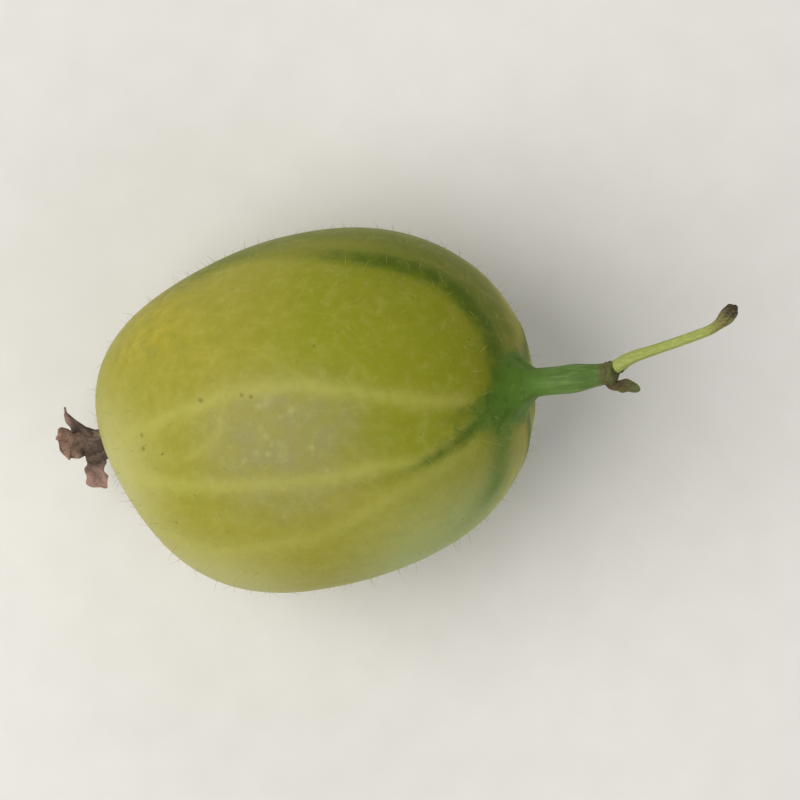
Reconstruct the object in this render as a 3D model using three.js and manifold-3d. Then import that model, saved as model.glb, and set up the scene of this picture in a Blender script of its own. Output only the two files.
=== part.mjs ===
// One picked gooseberry lying on its side: the fruit, its green stalk, the brown joint that
// ends the stalk, the thin pale stalk beyond the joint, and the dried flower on the far end.
//
// Millimetres, +Z up. The origin is the middle of the flat spot that the fruit rests on.
// Seen from above, +X runs along the fruit from the dried flower to the stalk.
//
// Everything is shaped in the fruit's own frame, whose x axis is the line through both ends
// of the fruit, and one group then tilts that frame and sets it down on the flat spot.
// An angle "around" is taken about that x axis: 0 at +y, a quarter turn on top.

import * as THREE from "three";
import { LoftGeometry } from "three/addons/geometries/LoftGeometry.js";
import { mergeVertices } from "three/addons/utils/BufferGeometryUtils.js";
import Module from "manifold-3d";

const wasm = await Module();
wasm.setup();

// ---- driving dimensions ----

const FRUIT_LENGTH = 28.5;
const FRUIT_WIDTH = 23.6;
const STALK_END_UP = THREE.MathUtils.degToRad(20); // tilt of the fruit's axis as it lies
const REST_SPOT_DEPTH = 0.45; // how far the skin is pressed flat where it rests
const GAP = 0.1; // between pieces that grow out of each other

const PEDICEL_LENGTH = 6; // green stalk, from the skin to the joint
const JOINT_LENGTH = 0.7;
const PEDUNCLE_RADIUS = 0.4; // pale stalk beyond the joint
const FLOWER_TUBE_LENGTH = 2.2;

// ---- helpers ----

const { cos, sin, exp, abs, sign, PI } = Math;
const X_AXIS = new THREE.Vector3(1, 0, 0);
const Y_AXIS = new THREE.Vector3(0, 1, 0);
const Z_AXIS = new THREE.Vector3(0, 0, 1);

const degrees = THREE.MathUtils.degToRad;
const mix = THREE.MathUtils.lerp;
const ease = THREE.MathUtils.smoothstep;

/** A list of count + 1 even steps from 0 to 1. */
const steps = (count) => Array.from({ length: count + 1 }, (_, i) => i / count);

/** A closed loft, with flat ends, through rings of points. */
function loft(rings) {
  return new LoftGeometry(rings, { capStart: true, capEnd: true });
}

/** Points round a centre, offset along side by cos and along up by sin of each angle. */
function ring(centre, side, up, sides, radiusAt) {
  return Array.from({ length: sides }, (_, i) => {
    const around = (i / sides) * 2 * PI;
    const radius = radiusAt(around);
    return centre
      .clone()
      .addScaledVector(side, radius * cos(around))
      .addScaledVector(up, radius * sin(around));
  });
}

/** A round stalk along a curve, radiusAt(share of its length, angle around) thick. */
function stalk(curve, sections, sides, radiusAt) {
  return loft(
    steps(sections).map((share) => {
      const ahead = curve.getTangentAt(share);
      const side = new THREE.Vector3().crossVectors(Z_AXIS, ahead).normalize();
      const up = new THREE.Vector3().crossVectors(ahead, side);
      return ring(curve.getPointAt(share), side, up, sides, (a) => radiusAt(share, a));
    }),
  );
}

/** A closed three.js geometry as a solid that can be joined and cut. */
function solidOf(geometry) {
  const bare = new THREE.BufferGeometry()
    .setAttribute("position", geometry.getAttribute("position"))
    .setIndex(geometry.index);
  const merged = mergeVertices(bare, 1e-4);
  return new wasm.Manifold(
    new wasm.Mesh({
      numProp: 3,
      vertProperties: merged.getAttribute("position").array,
      triVerts: new Uint32Array(merged.index.array),
    }),
  );
}

/** A solid back as a three.js geometry, flat shaded. */
function geometryOf(solid) {
  const { vertProperties, triVerts } = solid.getMesh();
  const indexed = new THREE.BufferGeometry()
    .setAttribute("position", new THREE.BufferAttribute(vertProperties, 3))
    .setIndex(new THREE.BufferAttribute(triVerts, 1));
  const flat = indexed.toNonIndexed();
  flat.computeVertexNormals();
  return flat;
}

function material(color, roughness) {
  return new THREE.MeshStandardMaterial({ color, roughness, metalness: 0 });
}

function mesh(name, solid, look) {
  const made = new THREE.Mesh(geometryOf(solid), look);
  made.name = name;
  return made;
}

// ---- fruit ----

const fruit = {
  halfLength: FRUIT_LENGTH / 2,
  halfWidth: FRUIT_WIDTH / 2,
  // Power of the outline: 2 is an ellipse, and more is fuller at the shoulders.
  fullness: 2.19,
  stalkEndFullness: 0.12,
  stalkEndBigger: 0.01,
  // Waves from end to end, [half waves, size], that swell the +y side where they thin the
  // -y side, and others that do the same to the top and the underside.
  sideWaves: [[1, 0.013], [2, 0.013], [3, 0.02], [4, -0.025], [5, 0.01]],
  topWaves: [[2, -0.05], [3, 0.008]],
  // Waves round the girth, [count, size, start], so that no section is a true circle.
  girthWaves: [[2, 0.009, 0.6], [3, 0.006, -0.8]],
  // The skin is drawn out a little where the stalk and the dried flower grow from it, and
  // the flower sits a little to the -y side of its end.
  stalkRise: 0.35,
  flowerRise: 0.3,
  riseRadius: 1.9,
  flowerAside: -0.45,
  rings: 44,
  sides: 64,
};

const waves = (list, angle) =>
  list.reduce((sum, [count, size, start = 0]) => sum + size * sin(count * angle + start), 0);

/** Point on the skin. polar runs from 0 at the stalk end to half a turn at the flower. */
function skinPoint(polar, around, grow = 0) {
  const power = 2 / (fruit.fullness + fruit.stalkEndFullness * cos(polar));
  const fuller = (share) => sign(share) * abs(share) ** power;
  const swell =
    1 +
    fruit.stalkEndBigger * cos(polar) +
    waves(fruit.sideWaves, polar) * cos(around) +
    waves(fruit.topWaves, polar) * sin(around) +
    waves(fruit.girthWaves, around) * sin(polar) ** 2;
  const along = (fruit.halfLength + grow) * fuller(cos(polar)) * swell;
  const across = (fruit.halfWidth + grow) * fuller(sin(polar)) * swell;
  const y = across * cos(around);
  const z = across * sin(around);
  const atStalk = cos(polar) > 0;
  const fromSeat = Math.hypot(y - (atStalk ? 0 : fruit.flowerAside), z);
  const rise = exp(-((fromSeat / fruit.riseRadius) ** 2));
  const drawnOut = atStalk ? fruit.stalkRise * rise : -fruit.flowerRise * rise;
  return new THREE.Vector3(along + drawnOut, y, z);
}

/** The whole fruit, before it is pressed flat, grown outwards all over if asked. */
function fruitSolid(grow = 0) {
  const nearPole = 0.02; // the last rings are this far from the ends, which are then flat
  const rings = steps(fruit.rings).map((share) => {
    const polar = mix(PI - nearPole, nearPole, share);
    return Array.from({ length: fruit.sides }, (_, i) =>
      skinPoint(polar, (i / fruit.sides) * 2 * PI, grow),
    );
  });
  return solidOf(loft(rings));
}

const stalkEnd = skinPoint(0, 0).x;
const flowerSeat = new THREE.Vector3(skinPoint(PI, 0).x, fruit.flowerAside, 0);
const clearOfSkin = fruitSolid(GAP); // cut from what grows on the skin, so that it fits it

// ---- green stalk ----

const pedicel = {
  radius: 0.93,
  endRadius: 0.74, // at the joint
  bow: 0.22, // how far its middle arches up
  root: 1.6, // length inside the fruit before it is cut to the skin
  taperFrom: 0.6, // share of its length that is of one thickness
  foot: { spread: 0.53, widest: 2.1, height: 0.75, arms: 5, armSize: 0.24, firstArm: degrees(62) },
  ribs: { count: 7, size: 0.035 },
  sections: 22,
  sides: 30,
};

const jointStart = new THREE.Vector3(stalkEnd + PEDICEL_LENGTH, 0, 0);

/** A stout stalk whose foot spreads over the skin in arms, where the veins leave it. */
function pedicelSolid() {
  const { foot, ribs, root } = pedicel;
  const length = root + PEDICEL_LENGTH - GAP;
  const curve = new THREE.QuadraticBezierCurve3(
    new THREE.Vector3(stalkEnd - root, 0, 0),
    new THREE.Vector3(stalkEnd + PEDICEL_LENGTH / 2, -0.1, 2 * pedicel.bow),
    new THREE.Vector3(jointStart.x - GAP, 0, 0),
  );
  const radiusAt = (share, around) => {
    const height = share * length - root; // above the skin at the pole
    const tapered = ease(height, pedicel.taperFrom * PEDICEL_LENGTH, PEDICEL_LENGTH);
    const body = mix(pedicel.radius, pedicel.endRadius, tapered);
    const arms = 1 + foot.armSize * cos(foot.arms * (around - foot.firstArm));
    const spread = foot.spread * arms * exp(-height / foot.height);
    const rib = 1 + ribs.size * cos(ribs.count * around);
    return body * rib + Math.min(spread, foot.widest);
  };
  return solidOf(stalk(curve, pedicel.sections, pedicel.sides, radiusAt)).subtract(clearOfSkin);
}

// ---- brown joint, with its two bracts ----

const joint = {
  radius: 0.78,
  bulge: 0.1,
  // Each bract: where round the joint it sits, how long and wide it is, how far its tip
  // turns outwards, and how far along the joint it starts.
  bracts: [
    { around: degrees(170), length: 1.8, halfWidth: 0.5, turn: degrees(12), start: 0.2 },
    { around: degrees(-70), length: 1.3, halfWidth: 0.42, turn: degrees(35), start: 0.15 },
  ],
  bractThickness: 0.6,
};

/** A blade along a curve: blunt, creased along its middle and thicker at its root. */
function blade(curve, outward, { halfWidth, thickness, crease, widest, tipShare }, sections = 9) {
  const rings = steps(sections).map((share) => {
    const ahead = curve.getTangentAt(share);
    const side = new THREE.Vector3().crossVectors(outward, ahead).normalize();
    const up = new THREE.Vector3().crossVectors(ahead, side);
    const open = share < widest ? mix(0.75, 1, share / widest) : 1;
    const close = share < widest ? 1 : cos(((share - widest) / (1 - widest)) * (PI / 2)) ** 0.7;
    const width = halfWidth * open * Math.max(close, tipShare);
    const half = (thickness / 2) * mix(1.1, Math.max(close, 0.55), share);
    const centre = curve.getPointAt(share);
    return Array.from({ length: 10 }, (_, i) => {
      const a = (i / 10) * 2 * PI;
      const lift = half * sin(a) + crease * width * abs(cos(a));
      return centre.clone().addScaledVector(side, width * cos(a)).addScaledVector(up, lift);
    });
  });
  return solidOf(loft(rings));
}

/** A unit vector square to the fruit's axis, at an angle around it. */
const outwards = (around) =>
  new THREE.Vector3().addScaledVector(Y_AXIS, cos(around)).addScaledVector(Z_AXIS, sin(around));

function bractSolid({ around, length, halfWidth, turn, start }) {
  const out = outwards(around);
  const root = jointStart
    .clone()
    .addScaledVector(X_AXIS, start)
    .addScaledVector(out, joint.radius);
  const tip = root
    .clone()
    .addScaledVector(X_AXIS, length * cos(turn))
    .addScaledVector(out, length * sin(turn));
  const middle = root.clone().addScaledVector(X_AXIS, length * 0.55);
  const curve = new THREE.QuadraticBezierCurve3(root, middle, tip);
  const shape = {
    halfWidth,
    thickness: joint.bractThickness,
    crease: -0.35,
    widest: 0.4,
    tipShare: 0.3,
  };
  return blade(curve, out, shape);
}

function jointSolid() {
  const knuckle = loft(
    steps(6).map((share) => {
      const centre = jointStart.clone().addScaledVector(X_AXIS, share * JOINT_LENGTH);
      const radius = joint.radius - joint.bulge + joint.bulge * sin(share * PI);
      const uneven = (around) => radius * (1 + 0.05 * cos(3 * around + 1));
      return ring(centre, Y_AXIS, Z_AXIS, 18, uneven);
    }),
  );
  return joint.bracts.map(bractSolid).reduce((sum, bract) => sum.add(bract), solidOf(knuckle));
}

// ---- pale stalk ----

// Its line from the joint, which leans to +y and turns further at the torn tip.
const peduncleLine = [
  [0, 0.35, 0.05],
  [1.3, 0.85, 0.1],
  [3.1, 1.2, 0.15],
  [5.8, 1.75, 0.1],
  [7.3, 2.2, 0.05],
  [8.9, 3.35, 0.1],
];

const peduncle = { thinnest: 0.85, knob: 1.2, sections: 26, sides: 12 };

function peduncleSolid() {
  const start = jointStart.clone().addScaledVector(X_AXIS, JOINT_LENGTH + GAP);
  const curve = new THREE.CatmullRomCurve3(
    peduncleLine.map((p) => new THREE.Vector3(...p).add(start)),
  );
  const radiusAt = (share, around) => {
    const body = mix(1.1, peduncle.thinnest, ease(share, 0, 0.45));
    const knob = (peduncle.knob - peduncle.thinnest) * ease(share, 0.8, 0.92);
    const torn = 1 - 0.45 * ease(share, 0.94, 1);
    return PEDUNCLE_RADIUS * (body + knob) * torn * (1 + 0.05 * cos(2 * around + 5 * share));
  };
  return solidOf(stalk(curve, peduncle.sections, peduncle.sides, radiusAt));
}

// ---- dried flower ----

const flower = {
  tubeRadius: 1.0,
  footRadius: 1.35,
  mouthRadius: 1.15,
  root: 1.2, // length inside the fruit before it is cut to the skin
  sepalThickness: 0.6,
  // Each withered lobe: where round the tube it sits, how long and wide it is, how far it
  // splays from the tube's line at its root and at its tip, and where it is widest.
  sepals: [
    { around: degrees(25), length: 2.5, halfWidth: 0.5, splay: 40, tipSplay: 82, widest: 0.3 },
    { around: degrees(74), length: 2.1, halfWidth: 0.9, splay: 30, tipSplay: 55, widest: 0.6 },
    { around: degrees(205), length: 2.7, halfWidth: 0.75, splay: 62, tipSplay: 110, widest: 0.72 },
    { around: degrees(275), length: 2.4, halfWidth: 0.6, splay: 35, tipSplay: 75, widest: 0.4 },
    { around: degrees(325), length: 2.2, halfWidth: 0.62, splay: 20, tipSplay: 45, widest: 0.5 },
  ],
  style: { length: 2.0, radius: 0.32 },
};

/** A point on the flower's own line, so far out from the skin. */
const flowerPoint = (out) => flowerSeat.clone().addScaledVector(X_AXIS, -out);

/** One lobe of the dried calyx, turning outwards more and more towards its tip. */
function sepalSolid({ around, length, halfWidth, splay, tipSplay, widest }) {
  const out = outwards(around);
  const bends = 5;
  const rootRadius = flower.tubeRadius - flower.sepalThickness / 2;
  const points = [flowerPoint(FLOWER_TUBE_LENGTH - 0.5).addScaledVector(out, rootRadius)];
  for (let i = 1; i <= bends; i += 1) {
    const turned = degrees(mix(splay, tipSplay, i / bends));
    points.push(
      points[i - 1]
        .clone()
        .addScaledVector(X_AXIS, (-length / bends) * cos(turned))
        .addScaledVector(out, (length / bends) * sin(turned)),
    );
  }
  const shape = {
    halfWidth,
    thickness: flower.sepalThickness,
    crease: 0.3,
    widest,
    tipShare: 0.35,
  };
  return blade(new THREE.CatmullRomCurve3(points), out, shape, 10);
}

function flowerSolid() {
  const reach = flower.root + FLOWER_TUBE_LENGTH;
  const tube = loft(
    steps(10).map((share) => {
      const centre = flowerPoint(share * reach - flower.root);
      const foot = (flower.footRadius - flower.tubeRadius) * (1 - ease(share, 0.3, 0.75));
      const mouth = (flower.mouthRadius - flower.tubeRadius) * ease(share, 0.7, 1);
      const fluted = (around) =>
        (flower.tubeRadius + foot + mouth) * (1 + 0.05 * cos(5 * around + 1.2));
      return ring(centre, Y_AXIS, Z_AXIS.clone().negate(), 20, fluted);
    }),
  );
  const styleRoot = flowerPoint(FLOWER_TUBE_LENGTH - 0.4);
  const styleTip = styleRoot.clone().add(new THREE.Vector3(-flower.style.length, 0.25, -0.3));
  const styleLine = new THREE.LineCurve3(styleRoot, styleTip);
  const style = stalk(styleLine, 4, 8, (share) => flower.style.radius * mix(1, 0.6, share));
  return flower.sepals
    .map(sepalSolid)
    .reduce((sum, sepal) => sum.add(sepal), solidOf(tube).add(solidOf(style)))
    .subtract(clearOfSkin);
}

// ---- the fruit as it lies ----

const tilt = new THREE.Matrix4().makeRotationY(-STALK_END_UP);

/** Everything lower than the surface, in the frame of a fruit set at this height. */
function belowSurface(height) {
  const deep = 10;
  const box = new THREE.BoxGeometry(3 * FRUIT_LENGTH, 3 * FRUIT_WIDTH, deep);
  box.translate(0, 0, -deep / 2 - height);
  return solidOf(box.applyMatrix4(tilt.clone().invert()));
}

/** Bounds of the tilted solid's vertices that are within a hair of its lowest one. */
function footprint(solid) {
  const positions = geometryOf(solid).applyMatrix4(tilt).getAttribute("position");
  const points = Array.from({ length: positions.count }, (_, i) =>
    new THREE.Vector3().fromBufferAttribute(positions, i),
  );
  const lowest = Math.min(...points.map((p) => p.z));
  return new THREE.Box3().setFromPoints(points.filter((p) => p.z < lowest + 1e-3));
}

const wholeFruit = fruitSolid();
const height = -footprint(wholeFruit).min.z - REST_SPOT_DEPTH;
const restingFruit = wholeFruit.subtract(belowSurface(height));
const restSpot = footprint(restingFruit).getCenter(new THREE.Vector3());

const gooseberry = new THREE.Group();
gooseberry.rotation.y = -STALK_END_UP;
gooseberry.position.set(-restSpot.x, -restSpot.y, height);
gooseberry.add(
  mesh("fruit", restingFruit, material(0x9d9c3a, 0.38)),
  mesh("pedicel", pedicelSolid(), material(0x4c7a35, 0.6)),
  mesh("bract_joint", jointSolid(), material(0x4a3a28, 0.85)),
  mesh("peduncle", peduncleSolid(), material(0xa3a85c, 0.65)),
  mesh("dried_flower", flowerSolid(), material(0x5d4336, 0.9)),
);

export default gooseberry;
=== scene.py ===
import math

import bpy
import numpy as np
from mathutils import Matrix, Vector


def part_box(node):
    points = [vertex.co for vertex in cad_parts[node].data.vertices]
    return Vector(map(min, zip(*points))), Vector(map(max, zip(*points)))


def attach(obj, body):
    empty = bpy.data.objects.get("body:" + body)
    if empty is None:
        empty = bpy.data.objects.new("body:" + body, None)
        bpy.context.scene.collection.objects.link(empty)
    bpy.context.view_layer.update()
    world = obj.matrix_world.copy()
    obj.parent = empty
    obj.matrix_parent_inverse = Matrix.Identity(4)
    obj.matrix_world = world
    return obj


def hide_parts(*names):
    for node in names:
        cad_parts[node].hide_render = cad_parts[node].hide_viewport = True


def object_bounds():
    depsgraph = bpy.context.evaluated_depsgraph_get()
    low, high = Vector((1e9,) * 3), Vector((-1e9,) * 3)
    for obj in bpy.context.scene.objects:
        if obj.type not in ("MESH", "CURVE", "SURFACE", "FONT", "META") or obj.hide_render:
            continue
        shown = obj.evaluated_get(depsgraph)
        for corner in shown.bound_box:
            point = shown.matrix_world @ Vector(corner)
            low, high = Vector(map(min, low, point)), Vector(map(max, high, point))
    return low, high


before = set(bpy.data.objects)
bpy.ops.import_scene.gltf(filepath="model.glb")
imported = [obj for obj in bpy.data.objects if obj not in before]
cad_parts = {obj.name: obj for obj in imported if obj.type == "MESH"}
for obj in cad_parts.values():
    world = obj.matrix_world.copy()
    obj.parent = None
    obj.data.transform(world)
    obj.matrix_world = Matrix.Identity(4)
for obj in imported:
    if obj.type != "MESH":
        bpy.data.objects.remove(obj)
cadLow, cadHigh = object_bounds()
print("frame loaded")

# A gooseberry on its side. Shapes are worked out in millimetres in the berry's own frame,
# whose x runs through both its ends, and are then tilted and set down where the CAD is.
# "around" is the angle about that x: 0 at +y, 90 degrees on top. "polar" is 0 at the stalk
# end and 180 degrees at the dried flower.

fruit = {
    "halfLength": 14.25, "halfWidth": 11.8,
    "fullness": 2.19, "stalkEndFullness": 0.12, "stalkEndBigger": 0.01,
    "sideWaves": [(1, 0.013, 0), (2, 0.013, 0), (3, 0.02, 0), (4, -0.025, 0), (5, 0.01, 0)],
    "topWaves": [(2, -0.05, 0), (3, 0.008, 0)],
    "girthWaves": [(2, 0.009, 0.6), (3, 0.006, -0.8)],
    "stalkRise": 0.35, "flowerRise": 0.3, "riseRadius": 1.9, "flowerAside": -0.45,
    "tilt": 20,            # degrees, stalk end up
    "soften": 0.1,         # mm, how gently the resting spot turns up into the side
    "endZone": 0.6,        # radians from an end, past the feet of all that grows there
    "rings": 284, "sides": 330,
    "closerRings": 0.055,  # how much closer they are near the stalk
}
quarter = math.pi / 2      # start of a wave at its top


# sum of size * sin(count * angle + start)
def waves(rows, angle):
    return sum(size * np.sin(count * angle + start) for count, size, start in rows)


# sum of size * sin(turns * angle + slant * along + start): ripples that run slantwise round
def ripples(rows, angle, along):
    return sum(size * np.sin(turns * angle + slant * along + start)
               for turns, slant, size, start in rows)


# a bell of the angle round: exp(narrow * (cos(how far it is from middle) - 1))
def bellRound(around, middle, narrow):
    return np.exp((np.cos(around - np.radians(middle)) - 1) * narrow)


# a soft step: 0 up to low, 1 from high on, and 3 t squared - 2 t cubed between them, where t
# is the share of the way; it runs down where low is above high
def smoothStep(low, high, value):
    t = np.clip((value - low) / (high - low), 0, 1)
    return t * t * (3 - 2 * t)


def fullTurn(sides):                         # angles spread evenly round
    return np.linspace(0, 2 * np.pi, sides, endpoint=False)


def unit(vectors):                           # made one long
    return vectors / np.linalg.norm(vectors, axis=-1, keepdims=True)


def distance(a, b):
    return np.linalg.norm(a - b, axis=-1)


# the skin: an ellipse of slightly raised power, swollen by waves along it and round it,
# with a little cone drawn out at both ends
def skin(polar, around):
    f = fruit
    power = 2 / (f["fullness"] + f["stalkEndFullness"] * np.cos(polar))
    cosPart = np.sign(np.cos(polar)) * np.abs(np.cos(polar)) ** power
    sinPart = np.abs(np.sin(polar)) ** power
    swell = (1 + f["stalkEndBigger"] * np.cos(polar)
             + waves(f["sideWaves"], polar) * np.cos(around)
             + waves(f["topWaves"], polar) * np.sin(around)
             + waves(f["girthWaves"], around) * np.sin(polar) ** 2)
    along = f["halfLength"] * cosPart * swell
    across = f["halfWidth"] * sinPart * swell
    y, z = across * np.cos(around), across * np.sin(around)
    atStalk = np.cos(polar) > 0
    away = np.hypot(y - np.where(atStalk, 0, f["flowerAside"]), z)
    rise = np.exp(-(away / f["riseRadius"]) ** 2)
    x = along + np.where(atStalk, f["stalkRise"], -f["flowerRise"]) * rise
    return np.stack([x, y, z], axis=-1)


# the same with polar and around in degrees
def skinAt(polar, around):
    return skin(np.radians(np.asarray(polar, float)), np.radians(np.asarray(around, float)))


stalkEnd = float(skinAt(0, 0)[0])
flowerSeat = skinAt(180, 0) * [1, 0, 0] + [0, fruit["flowerAside"], 0]


# the skin's x above a place y, z near one end: the polar range that holds it is halved until
# what is left of it is far under a micrometre
def skinDepth(y, z, atStalk):
    around, reach = np.arctan2(z, y), np.hypot(y, z)
    near, far = np.zeros_like(reach), np.full_like(reach, fruit["endZone"])
    for _ in range(24):
        middle = (near + far) / 2
        on = skin(middle if atStalk else np.pi - middle, around)
        short = np.hypot(on[..., 1], on[..., 2]) < reach
        near, far = np.where(short, middle, near), np.where(short, far, middle)
    return on[..., 0]


# turns the berry's frame up about y, without moving it
def turned(points):
    t = math.radians(fruit["tilt"])
    x, y, z = points[..., 0], points[..., 1], points[..., 2]
    return np.stack([x * math.cos(t) - z * math.sin(t), y,
                     x * math.sin(t) + z * math.cos(t)], axis=-1)


fruitLow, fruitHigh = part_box("fruit")
wholeSkin = turned(skin(*np.meshgrid(np.linspace(0, np.pi, 400),
                                     np.linspace(0, 2 * np.pi, 400), indexing="ij")))
setDown = np.array([fruitLow.x * 1000 - wholeSkin[..., 0].min(),
                    fruitLow.y * 1000 - wholeSkin[..., 1].min(),
                    fruitHigh.z * 1000 - wholeSkin[..., 2].max()])


# own frame in mm to the CAD's frame in mm
def placed(points):
    return turned(points) + setDown


# what would be under the floor comes up to it: half of z + sqrt(z squared + soften squared)
def pressedFlat(points):
    z = points[..., 2]
    lifted = 0.5 * (z + np.sqrt(z ** 2 + fruit["soften"] ** 2))
    return np.concatenate([points[..., :2], lifted[..., None]], axis=-1)


# a mesh object from points in mm and faces as index arrays; carried holds the values that
# its points carry for the material
def meshOf(name, points, quads, triangles, look, carried=None):
    mesh = bpy.data.meshes.new(name)
    corners = np.concatenate([quads.ravel(), triangles.ravel()]).astype(np.int32)
    sizes = np.concatenate([np.full(len(quads), 4), np.full(len(triangles), 3)])
    starts = np.concatenate([[0], np.cumsum(sizes)[:-1]]).astype(np.int32)
    mesh.vertices.add(len(points))
    mesh.vertices.foreach_set("co", (points / 1000).astype(np.float32).ravel())
    mesh.loops.add(len(corners))
    mesh.loops.foreach_set("vertex_index", corners)
    mesh.polygons.add(len(sizes))
    mesh.polygons.foreach_set("loop_start", starts)
    mesh.polygons.foreach_set("use_smooth", np.ones(len(sizes), dtype=bool))
    mesh.update(calc_edges=True)
    for key, values in (carried or {}).items():
        mesh.attributes.new(key, "FLOAT", "POINT").data.foreach_set(
            "value", values.astype(np.float32).ravel())
    mesh.materials.append(look)
    piece = bpy.data.objects.new(name, mesh)
    bpy.context.scene.collection.objects.link(piece)
    return piece


# faces between rings, each ring closed. Rings that turn about the way they advance give
# faces that point outwards.
def tubeFaces(rings, sides):
    ring, side = np.meshgrid(np.arange(rings - 1), np.arange(sides), indexing="ij")
    beside = (side + 1) % sides
    quads = np.stack([ring * sides + side, ring * sides + beside,
                      (ring + 1) * sides + beside, (ring + 1) * sides + side], axis=-1)
    return quads.reshape(-1, 4)


# a fan of triangles from an end ring to one middle point, looking ahead along the rings or
# back
def capFaces(ringStart, sides, middle, facesBack):
    side = np.arange(sides)
    beside = (side + 1) % sides
    a, b = (beside, side) if facesBack else (side, beside)
    return np.stack([np.full(sides, middle), a + ringStart, b + ringStart], axis=-1)


# one closed tube from rings [ring, side, xyz]: its points, quads and cap triangles, counted
# on from the first free number
def closedTube(rings, first):
    count, sides = rings.shape[:2]
    middles = np.stack([rings[0].mean(axis=0), rings[-1].mean(axis=0)])
    points = np.concatenate([rings.reshape(-1, 3), middles])
    last = count * sides
    caps = np.concatenate([capFaces(0, sides, last, True),
                           capFaces((count - 1) * sides, sides, last + 1, False)])
    return points, tubeFaces(count, sides) + first, caps + first


# several closed tubes in one piece; carried lists each value's arrays, one for each tube, and
# a cap's middle takes its ring's mean
def joinedTubes(name, tubes, look, carried):
    points, quads, caps, first = [], [], [], 0
    for rings in tubes:
        tubePoints, tubeQuads, tubeCaps = closedTube(rings, first)
        points.append(tubePoints)
        quads.append(tubeQuads)
        caps.append(tubeCaps)
        first += len(tubePoints)
    values = {}
    for key, lists in carried.items():
        full = [np.concatenate([v.ravel(), [v[0].mean(), v[-1].mean()]]) for v in lists]
        values[key] = np.concatenate(full)
    return meshOf(name, np.concatenate(points), np.concatenate(quads),
                  np.concatenate(caps), look, values)


# a value that runs evenly from the first ring to the last
def alongRings(rings, first, last):
    return np.broadcast_to(np.linspace(first, last, len(rings))[:, None], rings.shape[:2])


# a soft curve through points: cubic pieces whose slopes are those of their neighbours
def softCurve(knots, count):
    knots = np.asarray(knots, dtype=float)
    padded = np.concatenate([2 * knots[:1] - knots[1:2], knots, 2 * knots[-1:] - knots[-2:-1]])
    at = np.linspace(0, len(knots) - 1, count)
    piece = np.minimum(at.astype(int), len(knots) - 2)
    t = (at - piece)[:, None]
    a, b, c, d = (padded[piece + k] for k in range(4))
    return 0.5 * (2 * b + (c - a) * t + (2 * a - 5 * b + 4 * c - d) * t ** 2
                  + (3 * b - a - 3 * c + d) * t ** 3)


# two unit directions across a path: the one nearest to a wanted side, and the one square to
# it; roll turns both about the path, in degrees
def pathFrames(path, wantedSide, roll=0.0):
    ahead = unit(np.gradient(path, axis=0))
    side = unit(wantedSide - (ahead @ wantedSide)[:, None] * ahead)
    up = np.cross(ahead, side)
    turn = np.radians(np.broadcast_to(roll, len(path)))[:, None]
    return side * np.cos(turn) + up * np.sin(turn), up * np.cos(turn) - side * np.sin(turn)


# rings round a path, each point moved out along side and lifted along up
def ringsAlong(path, side, up, out, lift):
    return path[:, None] + side[:, None] * out[..., None] + up[:, None] * lift[..., None]


# a round tube along a path, with its radius at each ring and angle
def tubeAlong(path, radius, angle):
    side, up = pathFrames(path, np.array([0, 1.0, 0]))
    return ringsAlong(path, side, up, radius * np.cos(angle), radius * np.sin(angle))


# a steady irregular value: sines along six directions through a point, different for each
# seed and slower for a greater size in mm
def wander(points, size, seed):
    rng = np.random.default_rng(seed)
    total = 0
    for _ in range(6):
        way = rng.normal(size=3)
        way /= np.linalg.norm(way) * size
        total = total + np.sin(points @ way * rng.uniform(3, 8) + rng.uniform(0, 6.28))
    return total / 6


# a colour as a screen shows it, 0 to 255, made linear
def srgb(r, g, b):
    return tuple((v / 255 / 12.92 if v <= 10 else ((v / 255 + 0.055) / 1.055) ** 2.4)
                 for v in (r, g, b)) + (1.0,)


class Wire:                                  # a socket that can stand in a sum
    def __init__(self, finish, socket):
        self.finish = finish
        self.socket = socket

    def math(self, operation, *values):
        numbers = dict(enumerate(values))
        return self.finish.node("ShaderNodeMath", {"operation": operation}, numbers)

    def __add__(self, other):
        return self.math("ADD", self, other)

    def __sub__(self, other):
        return self.math("SUBTRACT", self, other)

    def __rsub__(self, other):
        return self.math("SUBTRACT", other, self)

    def __mul__(self, other):
        return self.math("MULTIPLY", self, other)

    __radd__, __rmul__ = __add__, __mul__

    def held(self):                          # kept between 0 and 1
        return self.math("MINIMUM", self.math("MAXIMUM", self, 0.0), 1.0)

    def step(self, low, high):               # 0 below low, 1 above high, soft between
        return self.finish.node("ShaderNodeMapRange", {"interpolation_type": "SMOOTHSTEP"},
                                {"Value": self, "From Min": low, "From Max": high})


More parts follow.
